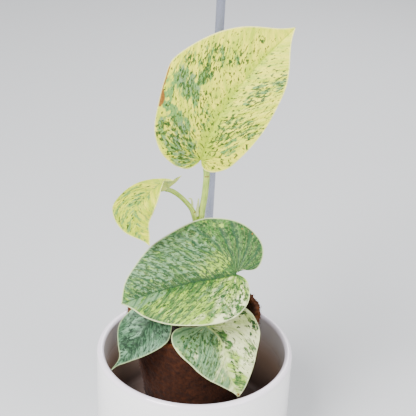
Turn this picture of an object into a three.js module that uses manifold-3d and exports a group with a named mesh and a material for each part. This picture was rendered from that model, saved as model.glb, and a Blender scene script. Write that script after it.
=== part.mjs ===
// A potted scindapsus: a young climbing aroid with five leaves, rooted in a coir pot that stands in a
// glazed ceramic cover pot, with a clear rod pushed into the soil behind the stem.
// Millimetres, +Z up. The origin is the centre of the cover pot's flat underside.
// Everything above the pot is measured from the centre of the cover pot's rim.

import * as THREE from 'three';
import { mergeVertices } from 'three/addons/utils/BufferGeometryUtils.js';
import Module from 'manifold-3d';

const wasm = await Module();
wasm.setup();

const GAP = 0.3; // clearance between pieces that rest on or in each other

const COVER_POT = { radius: 60, height: 65, wall: 4.5, floor: 7, footRound: 3, sides: 60 };
const COIR_POT = {
  centreX: -1,
  rimRadius: 40,
  rimAbove: 28,
  rimBand: 4.5,
  bandStep: 0.8,
  taper: 0.178,
  wall: 3.2,
  floor: 4,
  drainRadius: 6,
  sides: 48,
};
const SOIL = { belowRim: 9, crown: 1.5, wallGap: 0.4 };
const ROD = { radius: 2.5, length: 300, sides: 16, steps: 1, foot: [3.8, 13, -52.4], lean: 0.0121 };
const STEM = { radius: 2.5, sides: 12, steps: 12 };
const PETIOLE = { sides: 10, steps: 12, trimAbove: 2.5 };
const BLADE = { thickness: 0.8, stations: 18, steps: 5, footPower: 2, lobeBow: 0.3, veinBow: -0.12 };

// The stem climbs from the soil to the node where the two upper petioles part.
const STEM_PATH = [[-0.6, 3, -8], [-1, 2.8, 19], [-1.1, 2.3, 50], [-1, 1.8, 78], [-0.9, 1.5, 88.6]];

// Each leaf: its midrib from base to tip, the direction across it from the midrib to the left margin at
// base and tip, and its two halves, left and right as seen on the upper face with the tip away. A half
// rises from the midrib by the fold angle, which runs from its base value to its outer one over foldRun,
// and bends by curl degrees every 10 mm. Its margin gives points as [along the midrib, across from it].
const LEAVES = {
  top: {
    colour: 0xdde39a,
    midrib: [[-0.4, -4.5, 129.8], [4.6, -6, 148.4], [13.1, -4.5, 165.4], [26.8, -1, 184.4], [47.4, 5, 206.1]],
    across: [[-0.97, 0.1, 0.23], [-0.72, 0.21, 0.66]],
    left: {
      fold: [10, 10],
      curl: -2.5,
      margin: [[-3, 1.2], [-7.5, 5], [-7.6, 12], [-2, 21.8], [8, 29], [22, 32.6], [34, 36], [43, 38.1],
        [51, 35.6], [64, 28.8], [75, 20], [87, 5]],
    },
    right: {
      fold: [26, 26],
      curl: -3.5,
      margin: [[-3.4, 1.8], [-4.6, 5], [-2.6, 10.4], [3, 16.3], [13, 21.3], [24, 25], [36, 26.2],
        [51, 24.5], [64, 20.8], [73, 15.4], [86, 4.2]],
    },
    petiole: {
      radius: 1.8,
      path: [[0.5, 1.5, 89], [1.4, 1.2, 96.3], [2.3, 0.9, 103.1], [2.9, 0.4, 111.8], [3.1, -0.2, 118.6],
        [2.5, -1.2, 124.1], [1.3, -2.6, 129], [0.1, -4.8, 131.8]],
    },
  },
  side: {
    colour: 0xe0e0ac,
    midrib: [[-18.3, -9, 113.3], [-30.2, -15.3, 112.2], [-36.1, -22, 107], [-34.6, -25.8, 97.2], [-27, -27.6, 86.1]],
    across: [[0.65, -0.68, -0.35], [0.81, 0.28, 0.51]],
    left: {
      fold: [86, 9],
      foldRun: 34,
      curl: -17,
      margin: [[-1.5, 2], [-4, 5.5], [-4.6, 10], [-4, 14], [-2, 10.2], [3, 9.8], [12, 15.6], [21, 15], [27, 12],
        [34, 8], [42, 4.2]],
    },
    right: {
      fold: [-7, -7],
      curl: -16,
      margin: [[-3, 2.5], [-7, 6], [-5, 10.3], [-1.3, 13.1], [4.4, 15.9], [13, 17.2], [22.4, 16.6], [29, 14.2],
        [36, 8.4], [44, 1.5]],
    },
    petiole: {
      radius: 1.4,
      path: [[-1.8, 1.5, 86], [-3.2, 0.6, 91.8], [-5, -0.7, 96.8], [-8.2, -2.7, 102], [-11.2, -4.8, 106.2],
        [-14.6, -7, 110], [-17.4, -8.5, 111.9], [-20.1, -9.9, 113.2]],
    },
  },
  front: {
    colour: 0x9fbf8c,
    midrib: [[22.4, -22, 67], [10.2, -25.2, 65.3], [-2.8, -28.7, 64.2], [-20.5, -33.2, 60.8], [-42.2, -38, 54]],
    across: [[0.3, -0.72, -0.62], [0.3, -0.75, -0.58]],
    left: {
      fold: [34, 34],
      curl: -14,
      margin: [[-2, 2], [-4, 6], [-4, 12.5], [-0.7, 21], [6.5, 27], [20, 29.8], [34, 28.2], [45.5, 24],
        [56.7, 15.6], [63, 6.4]],
    },
    right: {
      fold: [18, 18],
      curl: -5,
      margin: [[-3, 2.2], [-7.5, 0.4], [-12.5, 0.5], [-16.6, 4.7], [-19, 12.3], [-15.9, 21.8], [-8, 30],
        [4, 34.8], [13, 35.6], [26, 32.4], [44, 25.5], [56, 17], [63, 10.4]],
    },
    petiole: {
      radius: 1.6,
      path: [[-1.1, 2.3, 44], [4.5, -2.5, 46.5], [12, -10, 50], [18.5, -16.5, 56], [21.4, -20, 62], [20.4, -22.5, 66.8]],
    },
  },
  lower_left: {
    colour: 0x5f8a66,
    midrib: [[-23.5, -23.6, 38], [-27.8, -27.1, 32.5], [-32.1, -31.1, 26.5], [-41.3, -33, 12.9], [-48.6, -32.5, 3.5]],
    across: [[0.64, -0.73, -0.25], [0.61, -0.77, -0.21]],
    left: {
      fold: [10, 10],
      curl: -8,
      margin: [[-2, 1.6], [-5.5, 5], [-5.5, 10], [-2.7, 14.3], [4.2, 18], [9.5, 16.9], [15, 14.4], [23, 9.8],
        [32, 4.7], [39, 1]],
    },
    right: {
      fold: [14, 14],
      curl: -8,
      margin: [[-2, 1.6], [-5, 5], [-3.5, 10], [2, 13], [7.8, 14.5], [14.7, 16], [20, 15.5], [24, 13.3],
        [29, 7.7], [35, 1.9]],
    },
    petiole: {
      radius: 1.4,
      path: [[-1, 2.6, 27], [-6.5, -3, 35], [-13, -10.5, 38.6], [-19, -17.6, 38.6], [-22.4, -21.6, 37], [-24.7, -24.5, 36.6]],
    },
  },
  lower_right: {
    colour: 0xd3dcc0,
    midrib: [[6.9, -29.6, 35.5], [12.9, -34.6, 33], [17.3, -39.1, 27.6], [19.7, -43.2, 16], [26.9, -44.5, -3.5]],
    across: [[0.85, 0.47, 0.24], [0.89, 0.31, 0.33]],
    left: {
      fold: [12, 12],
      curl: -7,
      margin: [[-2.5, 2], [-8, 6], [-9, 13], [-5, 21], [1.2, 25], [10.9, 24], [19, 22.4], [26, 19.6],
        [35, 14.2], [45, 6]],
    },
    right: {
      fold: [14, 14],
      curl: -7,
      margin: [[-1.5, 2.6], [-2.2, 6.3], [-5.6, 12.6], [-5.6, 17], [-3, 21.4], [3, 24.8], [9.8, 25.7],
        [19.6, 20.9], [28.2, 14.3], [37.4, 7.1], [46, 1.6]],
    },
    petiole: {
      radius: 1.4,
      path: [[-0.8, 2.8, 23], [0.5, -3.5, 31], [2.6, -12, 36], [4.8, -20.5, 36], [6.4, -26.5, 34], [8.2, -30.7, 35.1]],
    },
  },
};

const point = (coordinates) => new THREE.Vector3(...coordinates);

const smoothCurve = (points) => new THREE.CatmullRomCurve3(points.map(point), false, 'centripetal');

function named(name, geometry, colour, roughness, metalness = 0) {
  const material = new THREE.MeshStandardMaterial({ color: colour, roughness, metalness });
  const mesh = new THREE.Mesh(geometry, material);
  mesh.name = name;
  return mesh;
}

// A solid of a closed geometry, for cutting one piece by its neighbour.
function solidOf(geometry) {
  const positions = new THREE.BufferGeometry();
  const flat = geometry.index ? geometry.toNonIndexed() : geometry;
  positions.setAttribute('position', flat.getAttribute('position'));
  const merged = mergeVertices(positions, 1e-4);
  return new wasm.Manifold(new wasm.Mesh({
    numProp: 3,
    vertProperties: new Float32Array(merged.attributes.position.array),
    triVerts: new Uint32Array(merged.index.array),
  }));
}

function geometryOf(solid) {
  const mesh = solid.getMesh();
  const geometry = new THREE.BufferGeometry();
  geometry.setAttribute('position', new THREE.BufferAttribute(new Float32Array(mesh.vertProperties), 3));
  geometry.setIndex(new THREE.BufferAttribute(new Uint32Array(mesh.triVerts), 1));
  geometry.computeVertexNormals();
  return geometry;
}

function cutAway(geometry, cutters) {
  return geometryOf(cutters.reduce((solid, cutter) => solid.subtract(solidOf(cutter)), solidOf(geometry)));
}

// A closed lathe about the upright axis, from [radius, height] points.
function turned(profile, sides) {
  const geometry = new THREE.LatheGeometry(profile.map(([r, z]) => new THREE.Vector2(r, z)), sides);
  return geometry.rotateX(Math.PI / 2);
}

function quarterRound(centreR, centreZ, radius, fromDegrees, toDegrees, steps = 3) {
  return Array.from({ length: steps + 1 }, (_, i) => {
    const angle = THREE.MathUtils.degToRad(fromDegrees + ((toDegrees - fromDegrees) * i) / steps);
    return [centreR + radius * Math.cos(angle), centreZ + radius * Math.sin(angle)];
  });
}

// A round stalk of one radius along a curve.
function stalk(path, { radius, sides, steps }) {
  const section = new THREE.Shape();
  for (let i = 0; i < sides; i++) {
    const angle = (2 * Math.PI * i) / sides;
    const corner = [radius * Math.cos(angle), radius * Math.sin(angle)];
    if (i === 0) section.moveTo(...corner);
    else section.lineTo(...corner);
  }
  return new THREE.ExtrudeGeometry(section, { steps, bevelEnabled: false, extrudePath: smoothCurve(path) });
}

// The same stalk with the clearance added all round and at both ends.
function aroundStalk(path, form) {
  const ends = path.map(point);
  const last = ends.length - 1;
  const outwards = (end, neighbour) => end.clone().sub(neighbour).setLength(GAP).add(end);
  const longer = ends.map((end, i) => {
    if (i === 0) return outwards(end, ends[1]).toArray();
    return i === last ? outwards(end, ends[last - 1]).toArray() : end.toArray();
  });
  return stalk(longer, { ...form, radius: form.radius + GAP });
}

function coverPot() {
  const { radius, height, wall, floor, footRound, sides } = COVER_POT;
  const inner = radius - wall;
  const lip = wall / 2;
  const rim = quarterRound(radius - lip, height - lip, lip, 0, 180, 6);
  const insideCorner = quarterRound(inner - footRound, floor + footRound, footRound, 0, -90);
  return turned([
    [0, 0],
    ...quarterRound(radius - footRound, footRound, footRound, -90, 0),
    ...rim,
    ...insideCorner,
    [0, floor],
  ], sides);
}

// Pressed coir: a straight tapering cup with a slightly thicker band under its rim and a drain hole.
function coirPot() {
  const { rimRadius, rimAbove, rimBand, bandStep, taper, wall, floor, drainRadius, sides } = COIR_POT;
  const foot = coirFoot();
  const outer = (z) => rimRadius - bandStep - taper * (rimAbove - rimBand - z);
  const inner = (z) => outer(z) - wall;
  const closed = [
    [drainRadius, foot],
    [outer(foot) - 1.5, foot],
    [outer(foot + 1.5), foot + 1.5],
    [outer(rimAbove - rimBand - 1), rimAbove - rimBand - 1],
    [rimRadius - 0.3, rimAbove - rimBand],
    [rimRadius, rimAbove - 0.8],
    [rimRadius - 0.8, rimAbove],
    [inner(rimAbove) + 0.6, rimAbove],
    [inner(rimAbove - 0.8), rimAbove - 0.8],
    [inner(foot + floor), foot + floor],
    [drainRadius, foot + floor],
    [drainRadius, foot],
  ];
  return turned(closed, sides).translate(COIR_POT.centreX, 0, 0);
}

function coirFoot() {
  return COVER_POT.floor + GAP - COVER_POT.height;
}

// Soil fills the coir pot to just below its rim, with a hole round whatever is set in it.
function soil(planted) {
  const { rimAbove, rimBand, rimRadius, bandStep, taper, wall, floor, sides } = COIR_POT;
  const bottom = coirFoot() + floor + GAP;
  const top = rimAbove - SOIL.belowRim;
  const radiusAt = (z) => rimRadius - bandStep - wall - SOIL.wallGap - taper * (rimAbove - rimBand - z);
  const body = turned([
    [0, bottom],
    [radiusAt(bottom), bottom],
    [radiusAt(top), top],
    [radiusAt(top) * 0.6, top + SOIL.crown * 0.6],
    [0, top + SOIL.crown],
  ], sides).translate(COIR_POT.centreX, 0, 0);
  return cutAway(body, planted);
}

function rodPath() {
  const [x, y, z] = ROD.foot;
  return [ROD.foot, [x + ROD.lean * ROD.length, y, z + ROD.length]];
}

// The leaf's face as a function of (side, station, step): stations run round the margin from the base to
// the tip, steps from the midrib out to the margin along a vein.
function bladeFace(leaf) {
  const midrib = smoothCurve(leaf.midrib);
  const length = midrib.getLength();
  const [acrossBase, acrossTip] = leaf.across.map(point);

  const margins = Object.fromEntries(['left', 'right'].map((side) => {
    const outline = [[0, 0], ...leaf[side].margin, [length, 0]].map(([u, v]) => [u, v, 0]);
    return [side, smoothCurve(outline).getSpacedPoints(BLADE.stations)];
  }));

  function onFace(side, along, out) {
    const u = THREE.MathUtils.clamp(along, 0, length);
    const share = u / length;
    const tangent = midrib.getTangentAt(share);
    const origin = midrib.getPointAt(share).addScaledVector(tangent, along - u);
    const across = acrossBase.clone().lerp(acrossTip, share).normalize();
    const facing = tangent.clone().cross(across).normalize();
    const half = leaf[side];
    const opening = THREE.MathUtils.smoothstep(along, 0, half.foldRun ?? length);
    const fold = THREE.MathUtils.degToRad(THREE.MathUtils.lerp(...half.fold, opening));
    const bend = THREE.MathUtils.degToRad(half.curl) / 10;
    const end = fold + bend * out;
    const reach = (Math.sin(end) - Math.sin(fold)) / bend;
    const rise = (Math.cos(fold) - Math.cos(end)) / bend;
    const sign = side === 'left' ? 1 : -1;
    const normal = facing.clone().multiplyScalar(Math.cos(end)).addScaledVector(across, -sign * Math.sin(end));
    return {
      place: origin.addScaledVector(across, sign * reach).addScaledVector(facing, rise),
      normal: out < 1e-6 ? facing : normal.normalize(),
    };
  }

  return (side, station, step) => {
    const t = station / BLADE.stations;
    const s = step / BLADE.steps;
    const edge = margins[side][station];
    const foot = length * t ** BLADE.footPower;
    const bow = THREE.MathUtils.lerp(BLADE.lobeBow, BLADE.veinBow, Math.min(2 * t, 1)) * 4 * s * (1 - s);
    const du = edge.x - foot;
    const dv = edge.y;
    return onFace(side, foot + du * s + bow * dv * 0.5, Math.max(dv * s - bow * du * 0.5, 0));
  };
}

// A thin closed blade: one sheet above its face, one below it, and a rim between them.
function blade(leaf, above = 0, below = BLADE.thickness) {
  const { stations, steps } = BLADE;
  const face = bladeFace(leaf);
  const positions = [];
  const index = new Map();

  function vertex(side, station, step, layer) {
    const pole = station === 0 || station === stations;
    const key = pole ? `${station} ${layer}` : `${step === 0 ? 'mid' : side} ${station} ${step} ${layer}`;
    if (!index.has(key)) {
      const { place, normal } = face(side, station, pole ? 0 : step);
      place.addScaledVector(normal, layer === 0 ? above : -below);
      index.set(key, positions.length / 3);
      positions.push(...place.toArray());
    }
    return index.get(key);
  }

  const triangles = [];
  function quad(a, b, c, d) {
    for (const corners of [[a, b, c], [a, c, d]]) {
      if (new Set(corners).size === 3) triangles.push(...corners);
    }
  }

  for (const side of ['left', 'right']) {
    for (let i = 0; i < stations; i++) {
      for (const layer of [0, 1]) {
        for (let j = 0; j < steps; j++) {
          const ring = [[i, j], [i, j + 1], [i + 1, j + 1], [i + 1, j]].map(([a, b]) => vertex(side, a, b, layer));
          quad(...((side === 'left') === (layer === 0) ? ring.reverse() : ring));
        }
      }
      const rim = [[i, 0], [i + 1, 0], [i + 1, 1], [i, 1]].map(([a, layer]) => vertex(side, a, steps, layer));
      quad(...(side === 'left' ? rim : rim.reverse()));
    }
  }

  const geometry = new THREE.BufferGeometry();
  geometry.setAttribute('position', new THREE.Float32BufferAttribute(positions, 3));
  geometry.setIndex(triangles);
  geometry.computeVertexNormals();
  return geometry;
}

const stemClearance = aroundStalk(STEM_PATH, STEM);

const potted = new THREE.Group();
potted.add(named('cover_pot', coverPot(), 0xf2f0ef, 0.15));

const inCoverPot = new THREE.Group();
inCoverPot.position.z = COVER_POT.height;
inCoverPot.add(
  named('coir_pot', coirPot(), 0x5a3022, 0.95),
  named('soil', soil([stemClearance, aroundStalk(rodPath(), ROD)]), 0x3a2a1e, 1),
  named('support_rod', stalk(rodPath(), ROD), 0xb9bcc6, 0.1),
  named('stem', stalk(STEM_PATH, STEM), 0xa9c074, 0.6),
);

// Each petiole is trimmed by the stem and petioles it springs from and by the underside of its own blade.
const sprungFrom = [stemClearance];
for (const [name, leaf] of Object.entries(LEAVES)) {
  const { path, radius } = leaf.petiole;
  const form = { ...PETIOLE, radius };
  const underBlade = blade(leaf, PETIOLE.trimAbove, BLADE.thickness + GAP);
  const back = smoothCurve(leaf.midrib).getTangentAt(0).multiplyScalar(-2 * GAP);
  const behindBlade = underBlade.clone().translate(back.x, back.y, back.z);
  const trimming = [...sprungFrom, underBlade, behindBlade];
  inCoverPot.add(
    named(`petiole_${name}`, cutAway(stalk(path, form), trimming), 0xb9cc82, 0.6),
    named(`leaf_${name}`, blade(leaf), leaf.colour, 0.6),
  );
  sprungFrom.push(aroundStalk(path, form));
}
potted.add(inCoverPot);

export default potted;
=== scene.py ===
"""A young variegated scindapsus in a coir pot and a white cover pot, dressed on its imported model.

Metres, +Z up. Heights written in millimetres are measured from the cover pot's rim, as the plant's are.
"""

import math

import bpy
import numpy as np
from mathutils import Matrix, Vector, noise


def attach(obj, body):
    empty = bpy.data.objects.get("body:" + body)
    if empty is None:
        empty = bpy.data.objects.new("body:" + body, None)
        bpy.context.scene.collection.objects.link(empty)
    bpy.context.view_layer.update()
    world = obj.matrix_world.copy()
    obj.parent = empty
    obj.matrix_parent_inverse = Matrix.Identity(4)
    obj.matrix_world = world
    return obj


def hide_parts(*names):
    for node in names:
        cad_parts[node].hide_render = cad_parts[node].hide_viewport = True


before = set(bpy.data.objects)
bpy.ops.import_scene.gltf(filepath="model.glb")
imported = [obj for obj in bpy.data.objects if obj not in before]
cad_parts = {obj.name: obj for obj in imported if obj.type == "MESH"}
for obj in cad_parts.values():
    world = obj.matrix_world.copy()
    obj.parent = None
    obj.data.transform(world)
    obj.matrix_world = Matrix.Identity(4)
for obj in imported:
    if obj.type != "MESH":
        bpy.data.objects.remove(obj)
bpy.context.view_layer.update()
scene = bpy.context.scene

# The viewpoint: a long lens in front of the plant, looking down into the pots.
LENS = 98.29
EYE = Vector((0.004653, -0.576071, 0.471766))
EYE_RIGHT = Vector((0.99914854, 0.01953417, 0.03634018))
EYE_UP = Vector((-0.04125764, 0.47306481, 0.88006108))

camera_data = bpy.data.cameras.new("camera")
camera_data.lens = LENS
camera_data.sensor_width = 36
camera_data.clip_start = 0.01
camera = bpy.data.objects.new("camera", camera_data)
facing = Matrix((EYE_RIGHT, EYE_UP, EYE_RIGHT.cross(EYE_UP))).transposed()
camera.matrix_world = Matrix.Translation(EYE) @ facing.to_4x4()
scene.collection.objects.link(camera)
scene.camera = camera

# Soft studio light: a large overhead panel from the left, a weaker one from the right and a faint rim.
PANELS = (
    ("key", (-0.5, -0.6, 0.95), 0.6, 34.0),
    ("fill", (0.8, -0.6, 0.5), 0.8, 11.0),
    ("rim", (0.2, 0.8, 0.7), 0.5, 6.0),
)
LIT_POINT = Vector((0.0, 0.0, 0.13))

for name, place, size, watts in PANELS:
    panel_data = bpy.data.lights.new(name, "AREA")
    panel_data.shape = "DISK"
    panel_data.size = size
    panel_data.energy = watts
    panel = bpy.data.objects.new(name, panel_data)
    panel.location = place
    panel.rotation_euler = (LIT_POINT - Vector(place)).to_track_quat("-Z", "Y").to_euler()
    scene.collection.objects.link(panel)


def linear(code):
    """An sRGB hex colour as the linear colour a shader takes."""
    channels = [int(code[i : i + 2], 16) / 255 for i in (1, 3, 5)]
    return (*(c / 12.92 if c <= 0.04045 else ((c + 0.055) / 1.055) ** 2.4 for c in channels), 1.0)


def add(tree, kind, inputs=None, stops=(), **settings):
    """One node in a tree, with its settings, and each input set to a value or linked to a node or socket.

    stops are the (position, hex colour) pairs of a colour ramp.
    """
    made = tree.nodes.new(kind)
    for name, value in settings.items():
        setattr(made, name, value)
    for i, (position, code) in enumerate(stops):
        made.color_ramp.elements[i].position = position
        made.color_ramp.elements[i].color = linear(code)
    for name, value in (inputs or {}).items():
        by_name = (s for s in made.inputs if s.enabled and s.name == name)
        socket = made.inputs[name] if isinstance(name, int) else next(by_name)
        if isinstance(value, bpy.types.Node):
            value = next(s for s in value.outputs if s.enabled)
        if isinstance(value, bpy.types.NodeSocket):
            tree.links.new(value, socket)
        else:
            socket.default_value = value
    return made


def new_material(name):
    """A material with an empty tree, and the tree."""
    made = bpy.data.materials.new(name)
    made.use_nodes = True
    made.node_tree.nodes.clear()
    return made, made.node_tree


# The table it stands on: a plain pale sweep, light grey, without grain.
world = bpy.data.worlds.new("studio")
world.use_nodes = True
world.node_tree.nodes.clear()
sky = add(world.node_tree, "ShaderNodeBackground", {"Color": linear("#e9ebee"), "Strength": 0.9})
add(world.node_tree, "ShaderNodeOutputWorld", {"Surface": sky})
scene.world = world

FLOOR_HALF = 2.5

floor_mesh = bpy.data.meshes.new("floor")
corners = [(-FLOOR_HALF, -FLOOR_HALF, 0), (FLOOR_HALF, -FLOOR_HALF, 0)]
corners += [(FLOOR_HALF, FLOOR_HALF, 0), (-FLOOR_HALF, FLOOR_HALF, 0)]
floor_mesh.from_pydata(corners, [], [(0, 1, 2, 3)])
floor = bpy.data.objects.new("floor", floor_mesh)
scene.collection.objects.link(floor)
pale_paper, tree = new_material("pale_paper_sweep")
paper = add(tree, "ShaderNodeBsdfPrincipled", {"Base Color": linear("#c3c4c6"), "Roughness": 0.7})
add(tree, "ShaderNodeOutputMaterial", {"Surface": paper})
floor_mesh.materials.append(pale_paper)

# Cover pot: slip-cast stoneware, a straight cylinder with a round lip, dipped in a thick white glaze.
# The profile runs from the centre of the underside, over the lip, to the centre of the floor inside.
POT_RADIUS = 0.060
POT_HEIGHT = 0.065
POT_WALL = 0.0045
POT_FLOOR = 0.007
POT_FOOT_ROUND = 0.003
POT_HOLLOW_ROUND = 0.004
POT_SIDES = 128
RIM_HEIGHT = POT_HEIGHT
LIP_BAND = 0.004
LIP_CLEAN = 0.0015
GLAZE_CLOUD = 0.0222
GLAZE_RIPPLE = 0.0143
# Heights of the painted shade on the inner wall: where it begins, where it is full, where it deepens and
# where it is darkest.
PAINTED_SHADE_TOP = 0.059
PAINTED_SHADE_FULL = 0.034
PAINTED_SHADE_DEEPENS = 0.042
PAINTED_SHADE_DEEPEST = 0.012


def arc(centre_r, centre_z, radius, start, end, steps):
    """Points of an arc in the profile plane, from one angle in degrees to another."""
    angles = np.radians(np.linspace(start, end, steps + 1))
    return [(centre_r + radius * math.cos(a), centre_z + radius * math.sin(a)) for a in angles]


def curve_object(name, points, radii=None, smooth=False):
    """A curve through points in metres, straight between them or smoothed, with a radius at each."""
    data = bpy.data.curves.new(name, "CURVE")
    data.dimensions = "3D"
    spline = data.splines.new("POLY")
    spline.points.add(len(points) - 1)
    for i, place in enumerate(points):
        spline.points[i].co = (*place, 1.0)
        spline.points[i].radius = 1.0 if radii is None else radii[i]
    spline.use_smooth = smooth
    made = bpy.data.objects.new(name, data)
    scene.collection.objects.link(made)
    return made


def new_tree(name, sockets):
    """A geometry tree that takes and gives a geometry and has the named inputs, with its input node."""
    made = bpy.data.node_groups.new(name, "GeometryNodeTree")
    made.interface.new_socket("Geometry", in_out="INPUT", socket_type="NodeSocketGeometry")
    for label, kind in sockets.items():
        made.interface.new_socket(label, in_out="INPUT", socket_type=kind)
    made.interface.new_socket("Geometry", in_out="OUTPUT", socket_type="NodeSocketGeometry")
    return made, made.nodes.new("NodeGroupInput")


def end_tree(tree, shape, finish):
    """The end of a geometry tree: instances made real, the material set and the result given out."""
    real = add(tree, "GeometryNodeRealizeInstances", {"Geometry": shape})
    finished = add(tree, "GeometryNodeSetMaterial", {"Geometry": real, "Material": finish})
    add(tree, "NodeGroupOutput", {"Geometry": finished})


def grow(name, base, tree, values, finish):
    """The plain mesh object that a geometry tree makes of a base object, which is then dropped."""
    step = base.modifiers.new("grow", "NODES")
    step.node_group = tree
    for item in tree.interface.items_tree:
        if item.in_out == "INPUT" and item.name in values:
            step[item.identifier] = values[item.name]
    evaluated = base.evaluated_get(bpy.context.evaluated_depsgraph_get())
    mesh = bpy.data.meshes.new_from_object(evaluated)
    mesh.name = name
    base.modifiers.remove(step)
    bpy.data.objects.remove(base)
    return dress(name, mesh, finish)


def dress(name, mesh, finish):
    """An object of a finished mesh, smooth shaded, with its material."""
    made = bpy.data.objects.new(name, mesh)
    scene.collection.objects.link(made)
    mesh.materials.clear()
    mesh.materials.append(finish)
    mesh.shade_smooth()
    return made


# Stoneware glaze, dipped and fired: hard gloss, faintly lilac where it thins on the lip, a little wavy.
# Low on the inside, painted shade darkens the gap round the coir pot: dull brown for its shadow and the
# coir's bounce.
white_glaze, tree = new_material("white_stoneware_glaze")
place = add(tree, "ShaderNodeTexCoord").outputs["Object"]
height = add(tree, "ShaderNodeSeparateXYZ", {"Vector": place}).outputs["Z"]
on_lip = add(
    tree,
    "ShaderNodeMapRange",
    {"Value": height, "From Min": RIM_HEIGHT - LIP_BAND, "From Max": RIM_HEIGHT},
    interpolation_type="SMOOTHSTEP",
)
cloud = add(tree, "ShaderNodeTexNoise", {"Vector": place, "Scale": 1 / GLAZE_CLOUD, "Detail": 3.0})
body_tone = add(
    tree,
    "ShaderNodeMix",
    {"Factor": cloud, "A": linear("#f1f0f1"), "B": linear("#f7f5f4")},
    data_type="RGBA",
)
lip_share = add(tree, "ShaderNodeMath", {0: on_lip, 1: 0.8}, operation="MULTIPLY")
tone = add(
    tree,
    "ShaderNodeMix",
    {"Factor": lip_share, "A": body_tone, "B": linear("#e4d8e6")},
    data_type="RGBA",
)
from_axis = add(
    tree,
    "ShaderNodeVectorMath",
    {0: add(tree, "ShaderNodeVectorMath", {0: place, 1: (1, 1, 0)}, operation="MULTIPLY")},
    operation="LENGTH",
).outputs["Value"]
mid_lip = POT_RADIUS - POT_WALL / 2
inside = add(
    tree, "ShaderNodeMapRange", {"Value": from_axis, "From Min": mid_lip, "From Max": mid_lip - LIP_CLEAN}
)
# Painted shade: a dull brown over the inner wall below the lip, darker towards the pot's floor, for the
# shadow in the gap.
low = add(
    tree,
    "ShaderNodeMapRange",
    {"Value": height, "From Min": PAINTED_SHADE_TOP, "From Max": PAINTED_SHADE_FULL, "To Max": 0.9},
    interpolation_type="SMOOTHSTEP",
)
painted_shade = add(tree, "ShaderNodeMath", {0: inside, 1: low}, operation="MULTIPLY")
deep = add(
    tree, "ShaderNodeMapRange", {"Value": height, "From Min": PAINTED_SHADE_DEEPENS, "From Max": PAINTED_SHADE_DEEPEST}
)
painted_shade_tone = add(
    tree,
    "ShaderNodeMix",
    {"Factor": deep, "A": linear("#d8b89e"), "B": linear("#573827")},
    data_type="RGBA",
)
tone = add(tree, "ShaderNodeMix", {"Factor": painted_shade, "A": tone, "B": painted_shade_tone}, data_type="RGBA")
ripple = add(tree, "ShaderNodeTexNoise", {"Vector": place, "Scale": 1 / GLAZE_RIPPLE, "Detail": 1.0})
waves = add(tree, "ShaderNodeBump", {"Height": ripple, "Strength": 0.06, "Distance": 0.002})
dulled = add(tree, "ShaderNodeMapRange", {"Value": painted_shade, "To Min": 0.1, "To Max": 0.55})
glaze = add(
    tree, "ShaderNodeBsdfPrincipled", {"Base Color": tone, "Roughness": dulled, "IOR": 1.52, "Normal": waves}
)
add(tree, "ShaderNodeOutputMaterial", {"Surface": glaze})

# The turned shape: a profile swept once round the axis, its two ends closed on the axis.
turning, given = new_tree("turned_pot", {"Sides": "NodeSocketInt", "Axis": "NodeSocketFloat"})
ring = add(
    turning,
    "GeometryNodeCurvePrimitiveCircle",
    {"Resolution": given.outputs["Sides"], "Radius": given.outputs["Axis"]},
    mode="RADIUS",
)
swept = add(turning, "GeometryNodeCurveToMesh", {"Curve": ring, "Profile Curve": given.outputs["Geometry"]})
closed = add(turning, "GeometryNodeMergeByDistance", {"Geometry": swept, "Distance": 0.00001})
outward = add(turning, "GeometryNodeFlipFaces", {"Mesh": closed})
end_tree(turning, outward, white_glaze)

lip = POT_WALL / 2
inner_radius = POT_RADIUS - POT_WALL
profile = [(0.0, 0.0)]
profile += arc(POT_RADIUS - POT_FOOT_ROUND, POT_FOOT_ROUND, POT_FOOT_ROUND, -90, 0, 6)
profile += arc(POT_RADIUS - lip, POT_HEIGHT - lip, lip, 0, 180, 12)
profile += arc(inner_radius - POT_HOLLOW_ROUND, POT_FLOOR + POT_HOLLOW_ROUND, POT_HOLLOW_ROUND, 0, -90, 6)
profile += [(0.0, POT_FLOOR)]
turn_axis = 1.0
outline = curve_object("pot_profile", [(r - turn_axis, -z, 0) for r, z in profile])
cover_pot = grow("glazed_cover_pot", outline, turning, {"Sides": POT_SIDES, "Axis": turn_axis}, white_glaze)
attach(cover_pot, "root")
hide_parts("cover_pot")

# Coir pot: coconut fibre pressed with a little latex into a tapering cup, its rim rolled and left ragged.
# Loose ends of fibre stand off the rim and the side.
MM = 0.001
COIR_CENTRE = -1.0
COIR_RIM = 40.0
COIR_TOP = 28.0
COIR_FOOT = -57.7
COIR_BAND = 4.5
COIR_TAPER = 0.178
COIR_WALL = 3.2
COIR_FLOOR = 4.0
COIR_SIDES = 240
COIR_MOTTLE = 3.125
COIR_GRAIN = 2.38
COIR_THREAD = (2.0, 2.0, 6.25)
# Heights in millimetres over which painted shade darkens the coir pot towards its foot.
COIR_SHADE_SPAN = (-12.0, -38.0)


def wobble(x, y, z, scale, octaves=3):
    """Fractal noise at a point in millimetres, about -1 to 1, with bumps of the given size."""
    return noise.fractal(Vector((x, y, z)) / scale, 0.9, 2.1, octaves)


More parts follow.
